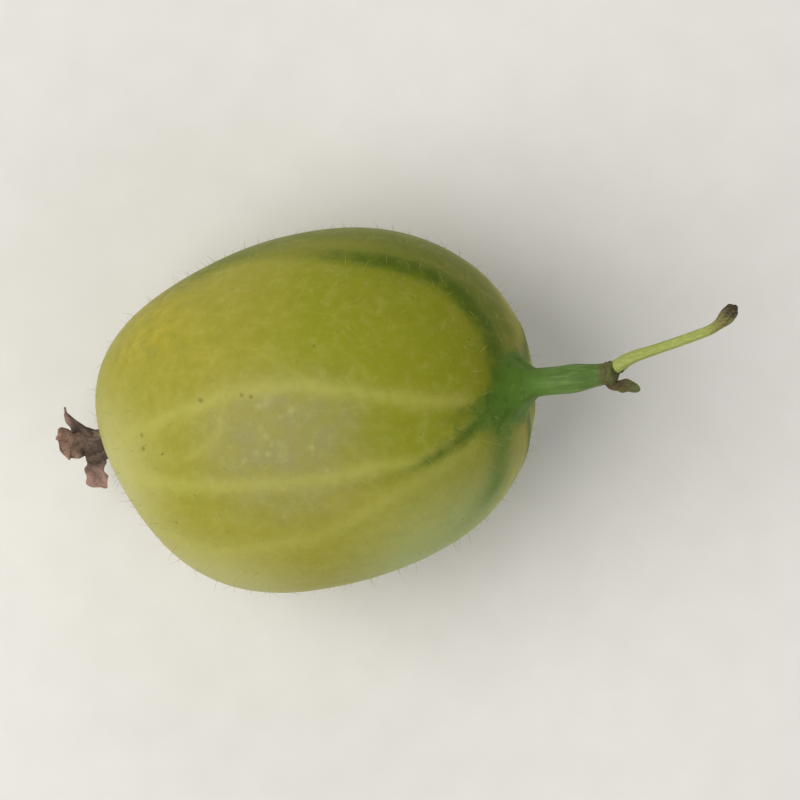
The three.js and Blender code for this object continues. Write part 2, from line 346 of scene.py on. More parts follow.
class Finish:                                # a material and the nodes it is made of
    def __init__(self, name):
        self.material = bpy.data.materials.new(name)
        self.material.use_nodes = True
        self.tree = self.material.node_tree
        self.tree.nodes.clear()

    def node(self, kind, settings, values, output=0):
        made = self.tree.nodes.new(kind)
        for key, value in settings.items():
            setattr(made, key, value)
        for key, value in values.items():
            if isinstance(value, Wire):
                self.tree.links.new(value.socket, made.inputs[key])
            else:
                made.inputs[key].default_value = value
        return Wire(self, made.outputs[output]) if made.outputs else None

    def vector(self, operation, values, output=0):
        return self.node("ShaderNodeVectorMath", {"operation": operation}, values, output)

    def millimetres(self):
        place = self.node("ShaderNodeTexCoord", {}, {}, "Object")
        return self.vector("SCALE", {0: place, "Scale": 1000.0})

    def carried(self, key):                  # a value that the mesh carries
        return self.node("ShaderNodeAttribute", {"attribute_name": key}, {}, "Fac")

    def noise(self, at, size, detail=2.0, rough=0.5, bend=0.0):
        return self.node("ShaderNodeTexNoise", {"noise_dimensions": "3D"},
                         {"Vector": at, "Scale": 1 / size, "Detail": detail,
                          "Roughness": rough, "Distortion": bend})

    def cells(self, feature, at, size):
        return self.node("ShaderNodeTexVoronoi", {"feature": feature},
                         {"Vector": at, "Scale": 1 / size}, "Distance")

    def dots(self, at, size):                # distance from the nearest of scattered points
        return self.cells("F1", at, size)

    def edges(self, at, size):               # distance from the walls between scattered cells
        return self.cells("DISTANCE_TO_EDGE", at, size)

    def paint(self, colour, *layers):        # each layer's colour shows where its share is 1
        for paint, share in layers:
            colour = self.node("ShaderNodeMix", {"data_type": "RGBA"},
                               {0: share, 6: colour, 7: paint}, 2)
        return colour

    def stretched(self, at, x, y, z):        # places scaled, so that a pattern is drawn out
        return self.vector("MULTIPLY", {0: at, 1: (x, y, z)})

    def alongBerry(self, at, stretch):       # the berry's own frame, drawn out along it
        return self.node("ShaderNodeMapping", {"vector_type": "TEXTURE"},
                         {"Vector": at, "Rotation": (0, -math.radians(fruit["tilt"]), 0),
                          "Scale": (stretch, 1, 1)})

    def shifted(self, at, amount, size):     # places moved about by a value, for ragged edges
        return self.vector("ADD", {0: at, 1: (amount - 0.5) * (2 * size)})

    def gap(self, at, middle):               # distance from one place
        return self.vector("DISTANCE", {0: at, 1: tuple(float(v) for v in middle)}, "Value")

    def bump(self, height, deep):            # deep in mm
        return self.node("ShaderNodeBump", {},
                         {"Height": height, "Strength": 1.0, "Distance": deep / 1000})

    def surface(self, colour, rough, normal, fixed):
        shader = self.node("ShaderNodeBsdfPrincipled", {},
                           {"Base Color": colour, "Roughness": rough, "Normal": normal, **fixed})
        self.node("ShaderNodeOutputMaterial", {}, {"Surface": shader})
        return self.material


# light that comes back out of flesh: its share, how far it goes in mm, and blue's part of that
def glow(share, reach, blue):
    return {"Subsurface Weight": share, "Subsurface Scale": reach / 1000,
            "Subsurface Radius": (1.0, 0.9, blue)}


# the skin drawn out where the stalk leaves it: mm and degrees
neck = {"height": 1.5, "width": 1.4, "power": 2.2, "arms": 5, "firstArm": 62, "armSize": 0.07,
        "towardsTop": 0.24, "topAt": 104, "topNarrow": 2.2, "uneven": [(7, 0.02, 2)]}


# how wide the neck spreads at each angle round: a few arms, and a bell towards the top
def neckWidth(around):
    n = neck
    arms = n["armSize"] * np.cos(n["arms"] * (around - np.radians(n["firstArm"])))
    top = n["towardsTop"] * bellRound(around, n["topAt"], n["topNarrow"])
    return n["width"] * (1 + arms + waves(n["uneven"], around) + top)


# height of the neck above the skin, a bell of the distance from the stalk's line
def neckRise(radius, around):
    return neck["height"] * np.exp(-(radius / neckWidth(around)) ** neck["power"])


# the same read backwards: how far from the stalk's line the neck is this high
def neckReach(height, around):
    share = np.clip(height / neck["height"], 1e-4, 0.9999)
    return neckWidth(around) * (-np.log(share)) ** (1 / neck["power"])


# each vein: knots of (polar, around) in degrees, its width in mm and how strong it is
veins = {
    "pale": [
        ([(24, 98), (32, 95), (44, 91), (54, 88), (63, 85), (72, 83), (80, 81), (88, 81), (94, 81),
          (102, 83), (111, 85), (119, 88), (126, 90), (140, 92), (160, 92)], 0.6, 1.0),
        ([(96, 81), (97.5, 88), (99, 93), (103, 97), (108, 100), (114, 103)], 0.3, 0.65),
        ([(20, 114), (30, 117), (40, 119), (48, 120), (57, 116), (64, 115), (73, 115), (81, 114),
          (88, 113), (95, 112), (103, 111), (112, 110), (120, 109), (128, 108), (145, 106),
          (165, 100)], 0.6, 1.0),
        ([(26, 128), (41, 128), (52, 129), (62, 131), (69, 133), (76, 135), (84, 137), (91, 136),
          (98, 137), (112, 137), (121, 134), (140, 132), (160, 128)], 0.65, 0.7),
    ],
    "green": [
        ([(8, 80), (12, 50), (19, 34), (30, 27), (40, 26), (48, 27), (58, 29), (66, 30), (74, 30),
          (82, 29), (92, 26), (106, 22), (125, 18)], 1.1, 1.0),
        ([(56, 28), (74, 29), (92, 25), (106, 20), (130, 14)], 1.3, 0.5),
        ([(8, 108), (14, 113), (20, 115), (30, 118), (40, 120), (50, 121), (62, 121), (72, 120)],
         0.56, 0.86),
        ([(20, 115), (30, 122), (40, 126)], 0.35, 0.6),
        ([(26, 117), (36, 115), (48, 116)], 0.3, 0.55),
        ([(10, 106), (20, 105), (31, 104), (44, 103)], 0.9, 0.6),
        ([(12, 70), (20, 60), (30, 52)], 0.5, 0.35),
    ],
    "bluish": [
        ([(8, 120), (12, 138), (18, 158), (29, 171), (38, 174), (48, 174), (66, 168)], 1.35, 1.0),
    ],
    # those of the other sides, by rule, from end to end: where round each starts, and how many
    # knots long the green at its stalk end is
    "others": [(-26, 0), (-54, 7), (-82, 5), (-111, 8), (-139, 6), (-165, 0)],
    "wobble": 4, "width": 0.58, "twigs": 5, "seed": 21,
}


# knots of a vein that keeps its angle round, give or take three slow waves
def otherVein(start, rng):
    polar = np.linspace(8, 170, 19)
    bend = rng.uniform(0.5, 1.5, 3) * veins["wobble"]
    turn = rng.uniform(0, 6.28, 3)
    sway = sum(bend[k] * np.sin(np.radians(polar) * (k + 1.3) + turn[k]) for k in range(3)) / 2
    return np.stack([polar, start + sway], axis=-1)


# knots of a twig that leaves a vein and runs slantwise towards its neighbour
def twigFrom(polar, around, towards, length, rng):
    t = np.linspace(0, 1, 6)
    reach = towards * (1 - (1 - t) ** 1.6)
    return np.stack([polar + length * t + rng.uniform(-1.5, 1.5, 6) * t,
                     around + reach + rng.uniform(-1.2, 1.2, 6) * t], axis=-1)


# every vein by kind, with twigs that leave the long ones at random
def allVeins():
    rng = np.random.default_rng(veins["seed"])
    rows = {"pale": list(veins["pale"]), "green": list(veins["green"]), "fine": []}
    for start, greenKnots in veins["others"]:
        knots = otherVein(start, rng)
        rows["pale"].append((knots[2:], veins["width"] * rng.uniform(0.8, 1.15), 1.0))
        if greenKnots:
            rows["green"].append((knots[:greenKnots], rng.uniform(0.45, 0.8),
                                  rng.uniform(0.6, 0.9)))
    trunks = [np.array(k, dtype=float) for k, _, _ in rows["pale"]]
    trunks.append(np.array(veins["green"][0][0], dtype=float))
    for trunk in trunks:
        for at in rng.uniform(30, 150, veins["twigs"]):
            around = np.interp(at, trunk[:, 0], trunk[:, 1])
            towards = rng.choice([-1, 1]) * rng.uniform(10, 22)
            twig = twigFrom(at, around, towards, rng.uniform(8, 26), rng)
            rows["fine"].append((twig, 0.2, rng.uniform(0.35, 0.8)))
    return rows


# how strongly a vein shows at each point: 1 on its line, falling off like a bell with its
# width, which is greater by spread at its root, and fading out over the last of its length
def veinStrength(points, rows, fadeFrom, spread=0.0):
    strength = np.zeros(len(points))
    for knots, width, force in rows:
        line = softCurve(knots, 10 * len(knots))
        on = skinAt(line[:, 0], line[:, 1])
        low, high = on.min(axis=0) - 4 * width, on.max(axis=0) + 4 * width
        near = np.nonzero(((points > low) & (points < high)).all(axis=1))[0]
        share = np.linspace(0, 1, len(line))[:-1]
        fade = force * (1 - smoothStep(fadeFrom, 1, share))
        wide = width * (1 + spread * np.exp(-7 * share))
        for part in np.array_split(near, max(1, len(near) // 4000)):    # to save memory
            if len(part) == 0:
                continue
            a, b = on[:-1], on[1:]
            along = b - a
            away = points[part][:, None, :] - a[None]
            t = np.clip((away * along).sum(-1) / (along * along).sum(-1), 0, 1)
            gap = np.linalg.norm(away - t[..., None] * along[None], axis=-1)
            value = fade * np.exp(-(gap / wide) ** 2)
            strength[part] = np.maximum(strength[part], value.max(axis=1))
    return strength


skinLook = {
    # shade paints the shade along the top rim, and is also the real darker tufts and grain
    "flesh": srgb(153, 148, 57), "bright": srgb(137, 140, 34), "shade": srgb(106, 114, 20),
    # pale also paints the glow low down and at the lower rim, as of light through the flesh;
    # elsewhere it is the real mottling, pips and tufts
    "pale": srgb(180, 177, 112), "vein": srgb(177, 174, 90), "green": srgb(74, 96, 12),
    "star": srgb(86, 118, 42), "blueGreenGlow": srgb(160, 174, 116), "seeds": srgb(146, 142, 95),
    "warm": srgb(170, 155, 40), "speck": srgb(84, 78, 34), "rusty": srgb(140, 84, 50),
    "veinRelief": 0.03, "greenRelief": 0.06, "unevenness": 0.05,      # mm
    # irregular patterns that the colours share: size in mm, detail and roughness
    "patterns": {"broad": (5.5, 3.0, 0.5), "cloudy": (1.6, 4.0, 0.6), "tufts": (0.9, 2.0, 0.5),
                 "grain": (0.28, 3.0, 0.6), "fine": (0.09, 2.0, 0.5)},
    # soft round patches of a colour: polar, around, radius in mm and strength
    "patches": {
        "bright": [(50, 60, 13, 1.5), (40, 110, 8, 0.7)],
        "warm": [(121, 47, 4, 1.2), (134, 62, 3, 0.6), (108, 62, 6, 0.45), (125, 30, 7, 0.5),
                 (62, 152, 6, 0.3), (70, -80, 8, 0.7)],
        # painted glow at the lower rim, as of light coming through the flesh
        "pale": [(142, 108, 7.5, 1.1), (128, 165, 9, 0.6), (112, 160, 8, 0.9)],
        # painted glow: a pale blue-green tint low on the stalk's side, of light from below through
        # the flesh, partly a painted reflection
        "blueGreenGlow": [(56, 180, 10, 1.45), (60, -120, 10, 0.4)],
        "seedsOnTop": [(84, 99, 8.5, 1.4)], "seedsBelow": [(85, -110, 9, 1.0)]},
    "seedsFrom": (66, 90),     # degrees round between which the seeds on top begin to show
    "paintedGlowFrom": 11.5,          # mm above the floor, from where a painted glow of light through the flesh grows downwards
    # the green star round the stalk: whole as far as core mm, then fading out over fade mm,
    # which two bells make longer towards one side; each has its mm and how narrow it is
    "starShape": {"core": 1.6, "fade": 1.5, "towards": 115, "bells": [(2.3, 1.6), (4.4, 16)]},
    # the band of painted shade along the top rim beside the first green vein, partly the flesh's
    # own
    # darker olive, in degrees: its edge round the berry, which drifts aside between two polars, and
    # where it fades out round the berry and at each end
    "band": {"edge": 22, "drift": 10, "driftAt": (85, 115), "soft": 8, "fade": (-34, 0),
             "flowerEnd": (140, 106), "stalkEnd": (4, 16)},
    # specks: polar, around and radius in mm
    "specks": [(103, 82, 0.14), (92, 82, 0.11), (90, 83, 0.08), (74, 68, 0.05), (124, 96, 0.09),
               (124, 91, 0.12), (52, -20, 0.14), (97, -66, 0.16), (118, 178, 0.12),
               (70, -130, 0.15)],
}


# the flesh, brighter in parts, with painted shade along its top rim and a painted blue-green glow
# low on the stalk's side, and tufts of warmer, paler and darker colour
def fleshColour(f, noise):
    look, broad, tufts = skinLook, noise["broad"], noise["tufts"]
    shade = f.carried("shade") * (0.7 + noise["cloudy"] * 0.4)
    warm = f.carried("warm") * tufts.step(0.2, 0.8) * 0.8
    return f.paint(
        look["flesh"],
        (look["bright"], f.carried("bright")),
        (look["bright"], broad.step(0.45, 0.75) * 0.25),
        (look["shade"], shade.held()),
        # painted blue-green glow low on the stalk's side
        (look["blueGreenGlow"], f.carried("blueGreenGlow") * (0.5 + broad * 0.4)),
        (look["warm"], warm.held()),
        (look["pale"], tufts.step(0.5, 0.7) * 0.12),
        (look["shade"], tufts.step(0.5, 0.3) * 0.1))


# the seeds show through as a greyish cloud with light pips and flecks in it
def seedsThrough(f, at, noise, colour):
    look, cloudy, seeds = skinLook, noise["cloudy"], f.carried("seeds")
    pips = f.dots(f.shifted(at, cloudy, 0.4), 1.9)
    flecks = f.dots(f.shifted(at, noise["grain"], 0.25), 1.0).step(0.4, 0.08)
    grey = cloudy.step(0.25, 0.7) * 0.3 + pips.step(0.7, 0.3) * 0.2 + 0.34
    return f.paint(
        colour,
        (look["seeds"], seeds * grey),
        (look["pale"], seeds * pips.step(0.3, 0.06) * 0.2),
        (look["pale"], seeds * (flecks * cloudy.step(0.3, 0.6)) * 0.4))


# pale veins and their twigs, weaker under the painted shade, and a fine net between them
def paleVeins(f, at, noise, colour):
    vein, cloudy = skinLook["vein"], noise["cloudy"]
    clear = 1 - f.carried("shade") * 0.55
    long = (f.carried("paleVein") * (0.3 + cloudy * 0.5)).held()
    twigs = (f.carried("fineVein") * (0.05 + cloudy * 0.5)).held()
    net = f.edges(f.shifted(f.alongBerry(at, 1.9), cloudy, 1.0), 1.9).step(0.08, 0.0)
    return f.paint(
        colour,
        (vein, long * clear * 0.85),
        (vein, twigs * clear * 0.7),
        (vein, net * (cloudy.step(0.35, 0.7) * 0.13 + 0.02)))


# the green veins, the bluish one, and the star with its ragged edge and darker tufts
def greenParts(f, noise, colour):
    look, tufts, grain = skinLook, noise["tufts"], noise["grain"]
    greenVein = f.carried("greenVein") * (0.08 + grain * 0.5 + tufts * 1.15)
    bluish = f.carried("bluish") * (0.35 + noise["cloudy"] * 0.5 + grain * 0.3)
    whole = f.carried("star")
    ragged = whole + (tufts - 0.5) * 0.9 + (grain - 0.5) * 0.5
    ragged = ragged.step(0.1, 0.9) * whole.step(0.0, 0.2)
    return f.paint(
        colour,
        (look["green"], greenVein.step(0.0, 1.0) * 0.92),
        (look["star"], bluish.held()),
        (look["star"], ragged * 0.95),
        (look["green"], ragged * tufts.step(0.5, 0.65) * 0.55))


# mottling, then dark and rusty specks: those listed, and scattered ones, which it gives back
# too because they stand up a little
def specksOver(f, at, noise, colour):
    look, broad, grain = skinLook, noise["broad"], noise["grain"]
    mottled = f.dots(at, 0.6).step(0.34, 0.05) * (0.06 + broad * 0.1)
    loose = f.shifted(at, grain, 0.16)
    marks = 0.0
    for polar, around, radius in look["specks"]:
        away = f.gap(loose, placed(skinAt(polar, around)))
        marks = away.step(radius + 0.14, radius * 0.3) + marks
    scattered = f.dots(loose, 2.3).step(0.05, 0.02) * broad.step(0.4, 0.55)
    rusty = f.dots(f.stretched(loose, 0.8, 1.1, 0.9), 3.6).step(0.035, 0.015)
    return f.paint(
        colour,
        (look["pale"], mottled),
        (look["shade"], grain.step(0.5, 0.75) * 0.1),
        (look["speck"], (marks * 0.5).held()),
        (look["speck"], scattered * 0.6),
        (look["rusty"], rusty * 0.6)), scattered


def makeSkinFinish():
    f = Finish("gooseberry_skin")
    at = f.millimetres()
    noise = {key: f.noise(at, *values) for key, values in skinLook["patterns"].items()}
    cloudy, fine = noise["cloudy"], noise["fine"]
    colour = seedsThrough(f, at, noise, fleshColour(f, noise))
    # painted glow: the flesh paled low down and at the lower rim, as of light coming through it
    colour = f.paint(colour, (skinLook["pale"], f.carried("pale") * (0.6 + cloudy * 0.4)))
    colour = greenParts(f, noise, paleVeins(f, at, noise, colour))
    colour, scattered = specksOver(f, at, noise, colour)
    height = fine * 0.12 + noise["grain"] * 0.3 + cloudy * 0.9 + scattered * 0.5
    return f.surface(colour, 0.34 + cloudy * 0.12 + fine * 0.06, f.bump(height, 0.035),
                     {**glow(0.5, 1.6, 0.35), "IOR": 1.42, "Specular IOR Level": 0.09})


# the sum of a kind's patches: each is its strength at its middle and 0 past its radius
def patchesOf(kind, points):
    total = 0
    for polar, around, radius, strength in skinLook["patches"][kind]:
        share = distance(points, skinAt(polar, around)) / radius
        total = total + (1 - smoothStep(0, 1, share)) * strength
    return total


# the skin's grid of angles, its rings closer together near the stalk, where the neck is
def skinGrid():
    t = np.linspace(0, 1, fruit["rings"] + 1)[1:-1]
    closer = fruit["closerRings"] * np.sin(2 * np.pi * np.clip(2 * t, 0, 1)) * (t < 0.5)
    return np.meshgrid(np.pi * (t - closer), fullTurn(fruit["sides"]), indexing="ij")


# the veins and the flesh behind it lift the skin by hundredths of a millimetre, but not
# right at its ends, and the neck is drawn out over the stalk's end
def raisedSkin(points, ends, paleVein, greenVein):
    look = skinLook
    grown = (look["veinRelief"] * paleVein + look["greenRelief"] * greenVein
             + look["unevenness"] * wander(points, 14, 5))
    fromEnds = np.minimum(distance(points, ends[0]), distance(points, ends[1]))
    shaped = points + unit(points) * (grown * smoothStep(0.6, 3.0, fromEnds))[:, None]
    x, y, z = points.T
    shaped[:, 0] += neckRise(np.hypot(y, z), np.arctan2(z, y)) * (x > 0)
    return shaped


# how much of each colour a point takes, from its angles and its place
def skinColours(points, polar, around, stalkPole):
    look, band, star = skinLook, skinLook["band"], skinLook["starShape"]
    polarDegrees = np.degrees(polar)
    aroundDegrees = (np.degrees(around) + 180) % 360 - 180
    fade = star["fade"] + sum(size * bellRound(around, star["towards"], narrow)
                              for size, narrow in star["bells"])
    fromStalk = distance(points, stalkPole)
    edge = band["edge"] + band["drift"] * smoothStep(*band["driftAt"], polarDegrees)
    # painted shade along the top rim beside the first green vein, partly the flesh's own darker
    # olive
    shade = (smoothStep(band["soft"], -band["soft"], aroundDegrees - edge)
             * smoothStep(*band["fade"], aroundDegrees)
             * smoothStep(*band["flowerEnd"], polarDegrees)
             * smoothStep(*band["stalkEnd"], polarDegrees))
    onTop = patchesOf("seedsOnTop", points) * smoothStep(*look["seedsFrom"], aroundDegrees)
    paintedGlowLowDown = smoothStep(-0.15, 0.6, 1 - placed(points)[:, 2] / look["paintedGlowFrom"])
    colours = {
        "star": 1 - smoothStep(star["core"], star["core"] + fade, fromStalk),
        "bright": patchesOf("bright", points) + 0.2 * wander(points, 20, 8),
        "shade": shade,
        "warm": patchesOf("warm", points),
        "seeds": onTop + patchesOf("seedsBelow", points),
        # painted glow of light through the flesh: paler low down, and more so on the side away from
        # 0 degrees round
        "pale": paintedGlowLowDown * (0.35 - 0.3 * np.cos(around)) + patchesOf("pale", points),
        "blueGreenGlow": patchesOf("blueGreenGlow", points),
    }
    return {key: np.clip(values, 0, 1) for key, values in colours.items()}


def makeFruit():
    polar, around = skinGrid()
    count, sides = polar.shape
    ends = skinAt([0, 180], [0, 0])
    points = np.concatenate([skin(polar, around).reshape(-1, 3), ends])
    rows = allVeins()
    veinShares = {"paleVein": veinStrength(points, rows["pale"], 0.8),
                  "greenVein": veinStrength(points, rows["green"], 0.45, 0.7),
                  "fineVein": veinStrength(points, rows["fine"], 0.5),
                  "bluish": veinStrength(points, veins["bluish"], 0.4, 0.3)}
    colours = skinColours(points, np.concatenate([polar.ravel(), [0, np.pi]]),
                          np.concatenate([around.ravel(), [0, 0]]), ends[0])
    shaped = raisedSkin(points, ends, veinShares["paleVein"], veinShares["greenVein"])
    last = count * sides
    caps = np.concatenate([capFaces(0, sides, last, False),
                           capFaces((count - 1) * sides, sides, last + 1, True)])
    quads = tubeFaces(count, sides)[:, ::-1]       # turned over: these rings run against x
    piece = meshOf("berry_skin", pressedFlat(placed(shaped)), quads, caps,
                   makeSkinFinish(), {**veinShares, **colours})
    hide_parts("fruit")
    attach(piece, "root")


makeFruit()
print("fruit made")

hair = {
    "count": 820, "shortest": 0.45, "longest": 1.25, "radius": 0.016, "sunk": 0.05,
    "lean": 42, "leanVaries": 16, "leanRange": (8, 72),       # degrees
    "bareAtStalk": 0.26, "bareAtFlower": 0.2,                 # radians of polar
    "bareRoundEnds": 2.3, "moreAtStalk": 0.5,                 # mm
    "bareBelow": 0.5, "lowest": 0.12,                         # mm above the floor
    "proudAside": 0.33, "proudOnTop": 0.6, "seed": 7, "rings": 5, "sides": 3,
    "root": srgb(146, 146, 54), "tip": srgb(178, 164, 88),
}


def makeHairFinish():
    f = Finish("gooseberry_hair")
    colour = f.paint(hair["root"], (hair["tip"], f.carried("share")))
    grain = f.noise(f.millimetres(), 0.1)
    return f.surface(colour, 0.4 + grain * 0.15, f.bump(grain, 0.002), glow(0.3, 0.3, 0.5))


# roots spread evenly over the skin by the golden angle, each a little out of its place
def hairRoots(rng):
    count = hair["count"]
    golden = np.pi * (3 - math.sqrt(5))
    order = np.arange(count)
    polar = np.arccos(1 - 2 * (order + rng.uniform(0.1, 0.9, count)) / count)
    around = order * golden + rng.uniform(-0.15, 0.15, count)
    keep = (polar > hair["bareAtStalk"]) & (polar < np.pi - hair["bareAtFlower"])
    return polar[keep], around[keep] % (2 * np.pi)


# unit directions at places on the skin, from small steps either way: towards the flower,
# round the berry and out of it
def skinDirections(polar, around):
    step = 1e-3
    down = unit(skin(polar + step, around) - skin(polar - step, around))
    across = unit(skin(polar, around + step) - skin(polar, around - step))
    out = np.cross(down, across)
    return down, across, out * np.sign((out * skin(polar, around)).sum(axis=1, keepdims=True))


# the hairs' middle lines: each leaves the skin square and drifts aside by the 1.5th power of
# the way along it, and it is pressed down where it would stand too far out of the CAD's box
def hairLines(rng):
    polar, around = hairRoots(rng)
    count = len(polar)
    root = skin(polar, around)
    down, across, out = skinDirections(polar, around)
    heading = rng.uniform(0, 2 * np.pi, count)
    flat = down * np.cos(heading)[:, None] + across * np.sin(heading)[:, None]
    lean = rng.normal(hair["lean"], hair["leanVaries"], count)
    lean = np.radians(np.clip(lean, *hair["leanRange"]))
    length = rng.uniform(hair["shortest"], hair["longest"], count) * rng.uniform(0.8, 1, count)
    share = np.linspace(0, 1, hair["rings"])

    def lines(scale):
        rise = (length * np.cos(lean) * scale)[:, None] * share - hair["sunk"]
        drift = (length * np.sin(lean))[:, None] * share ** 1.5
        return placed(root[:, None] + out[:, None] * rise[..., None]
                      + flat[:, None] * drift[..., None])

    tips = lines(1.0)[:, -1]
    high = np.array([np.inf, cadHigh.y * 1000 + hair["proudAside"],
                     cadHigh.z * 1000 + hair["proudOnTop"]])
    low = np.array([-np.inf, cadLow.y * 1000 - hair["proudAside"], -np.inf])
    over = np.maximum(tips - high, low - tips).max(axis=1)
    pressed = lines(np.clip(1 - np.maximum(over, 0) / (length * np.cos(lean)), 0.1, 1))
    pressed[..., 2] = np.maximum(pressed[..., 2], hair["lowest"])
    fromEnds = np.minimum(distance(root, [stalkEnd, 0, 0]) - hair["moreAtStalk"],
                          distance(root, flowerSeat))
    clear = (placed(root)[:, 2] > hair["bareBelow"]) & (fromEnds > hair["bareRoundEnds"])
    return pressed[clear]


# three-sided spines round those lines, thinning as the 1.3rd power of the way along, each
# closed at its root and its tip
def makeHairs():
    rng = np.random.default_rng(hair["seed"])
    lines = hairLines(rng)
    count, rings, sides = len(lines), hair["rings"], hair["sides"]
    ahead = unit(np.gradient(lines, axis=1))
    side = unit(np.cross(ahead, rng.normal(size=(count, 1, 3))))
    up = np.cross(ahead, side)
    angle = fullTurn(sides)
    spread = (side[:, :, None] * np.cos(angle)[None, None, :, None]
              + up[:, :, None] * np.sin(angle)[None, None, :, None])
    share = np.linspace(0, 1, rings)
    radius = hair["radius"] * (1 - 0.85 * share ** 1.3)
    points = lines[:, :, None] + spread * radius[None, :, None, None]
    first = (np.arange(count) * rings * sides)[:, None, None]
    quads = (tubeFaces(rings, sides)[None] + first).reshape(-1, 4)
    roots = np.array([[0, 2, 1]]) + first
    tips = np.array([[0, 1, 2]]) + (rings - 1) * sides + first
    caps = np.concatenate([roots.reshape(-1, 3), tips.reshape(-1, 3)])
    shares = np.broadcast_to(share[None, :, None], points.shape[:3])
    piece = meshOf("berry_hairs", points.reshape(-1, 3), quads, caps, makeHairFinish(),
                   {"share": shares})
    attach(piece, "root")
    print("hairs made", count)


makeHairs()

pedicel = {
    "radius": 0.93, "endRadius": 0.72, "length": 6.0, "taperFrom": 0.6,
    "rootAt": 0.25, "intoJoint": 0.1, "bow": 0.22, "aside": 0.05, "under": 0.09, "rises": 0.115,
    "ridges": [(9, 0.25, 0.028, quarter), (4, -0.7, 0.012, 1 + quarter), (2, 2.1, 0.02, 0)],
    "rings": 150, "sides": 120,
    "green": srgb(94, 122, 54), "dark": srgb(66, 94, 40), "pale": srgb(132, 150, 84),
    "brown": srgb(96, 76, 44),
}


# the stalk comes out of the neck: low down it follows the neck from just under its surface,
# and a high power mean of that and the stalk's own radius takes it over to the stalk. Gives
# the points, the share of its length and how far each belongs to the foot.
def pedicelPoints():
    p = pedicel
    reach = p["length"] + p["intoJoint"] - p["rootAt"]
    height = p["rootAt"] + reach * np.linspace(0, 1, p["rings"]) ** 1.5
    h, a = np.meshgrid(height, fullTurn(p["sides"]), indexing="ij")
    body = p["radius"] + (p["endRadius"] - p["radius"]) * smoothStep(
        p["taperFrom"] * p["length"], p["length"], h)
    ridge = 1 + smoothStep(0.8, 1.8, h) * ripples(p["ridges"], a, h)
    onNeck = neckReach(h, a) - p["under"] + p["rises"] * smoothStep(0.35, 0.95, h)
    radius = (np.maximum(onNeck, 0.01) ** 7 + (body * ridge) ** 7) ** (1 / 7)
    seat = skinDepth(radius * np.cos(a), radius * np.sin(a), True)
    bow = np.sin(np.pi * np.clip((h - 0.8) / (p["length"] - 0.8), 0, 1))
    x = stalkEnd + (seat - stalkEnd) * (1 - smoothStep(0.9, 3, h)) + h
    y = radius * np.cos(a) - p["aside"] * bow
    z = radius * np.sin(a) + p["bow"] * bow
    return np.stack([x, y, z], axis=-1), h / p["length"], smoothStep(2.6, 0.9, h)


# streaked lengthwise, browner towards the joint, and coloured as the star is at its foot
def makePedicelFinish():
    p = pedicel
    f = Finish("green_stalk")
    at = f.millimetres()
    foot = f.carried("foot")
    broad = f.noise(at, 1.4, 3.0)
    streaks = f.noise(f.alongBerry(at, 9), 0.2, 3.0, 0.5)
    tufts = f.noise(at, *skinLook["patterns"]["tufts"])
    grain = f.noise(at, 0.09, 2.0)
    browned = f.carried("share").step(0.9, 1.0) * 0.8 * (0.5 + grain)
    starred = f.paint(skinLook["star"], (skinLook["green"], tufts.step(0.5, 0.65) * 0.55))
    colour = f.paint(
        p["green"],
        (p["dark"], broad.step(0.4, 0.7) * 0.5),
        (p["dark"], streaks.step(0.48, 0.68) * 0.45),
        (p["pale"], streaks.step(0.5, 0.32) * 0.28),
        (p["brown"], browned.held()),
        (p["brown"], f.dots(at, 0.5).step(0.16, 0.08) * 0.4),
        (starred, foot))
    normal = f.bump(streaks * (1 - foot * 0.8) + grain * 0.3, 0.05)
    return f.surface(colour, 0.5 + grain * 0.15, normal,
                     {**glow(0.5, 0.8, 0.35), "Specular IOR Level": 0.2})


def makePedicel():
    rings, share, foot = pedicelPoints()
    piece = joinedTubes("stalk_green", [placed(rings)], makePedicelFinish(),
                        {"share": [share], "foot": [foot]})
    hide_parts("pedicel")
    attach(piece, "root")


makePedicel()
print("green stalk made")

joint = {
    "start": 6.0, "length": 0.75, "radius": 0.8, "swell": 0.08, "pinch": 0.32, "foot": 0.1,
    "wrinkles": [(11, 4, 0.035, 0), (5, -7, 0.025, 1), (2, 17, 0.03, 0)],
    "rings": 40, "sides": 96, "bractRings": 40, "bractSides": 36, "bractSeed": 11,
    "brown": srgb(100, 84, 54), "dark": srgb(56, 46, 32), "olive": srgb(92, 100, 54),
    # each bract: its angle round, then knots along, out and aside from its root on the axis in
    # mm, and its blade
    "bracts": [
        (172, [(-0.1, 0.5, 0.1), (0.35, 0.82, 0.12), (0.9, 0.9, 0.05), (1.5, 1.05, 0.1),
               (2.1, 1.32, 0.0)],
         {"halfWidth": 0.46, "thick": 0.3, "cup": -0.2, "widest": 0.5, "crinkle": 0.1,
          "roll": 62, "twist": 30, "blunt": 0.5, "neck": 0.75}),
        (-70, [(0.0, 0.5, 0), (0.4, 0.86, -0.05), (0.8, 1.1, 0.0), (1.2, 1.42, 0.1)],
         {"halfWidth": 0.4, "thick": 0.25, "cup": -0.3, "widest": 0.4, "crinkle": 0.1,
          "roll": 0, "blunt": 0.7})],
}


# a withered collar: rings that swell and pinch along it, wrinkled lengthwise
def collarPoints():
    j = joint
    s, a = np.meshgrid(np.linspace(0, 1, j["rings"]), fullTurn(j["sides"]), indexing="ij")
    profile = (j["radius"] - 0.1 + j["swell"] * np.sin(np.pi * s) ** 0.7
               - j["pinch"] * smoothStep(0.75, 1, s) - j["foot"] * smoothStep(0.12, 0, s))
    wrinkled = np.sin(np.pi * np.clip(s + 0.15, 0, 1))
    radius = profile + ripples(j["wrinkles"], a, s) * wrinkled
    x = stalkEnd + j["start"] - 0.08 + s * (j["length"] + 0.1) + 0.06 * np.sin(3 * a)
    return np.stack([x, radius * np.cos(a), radius * np.sin(a)], axis=-1)


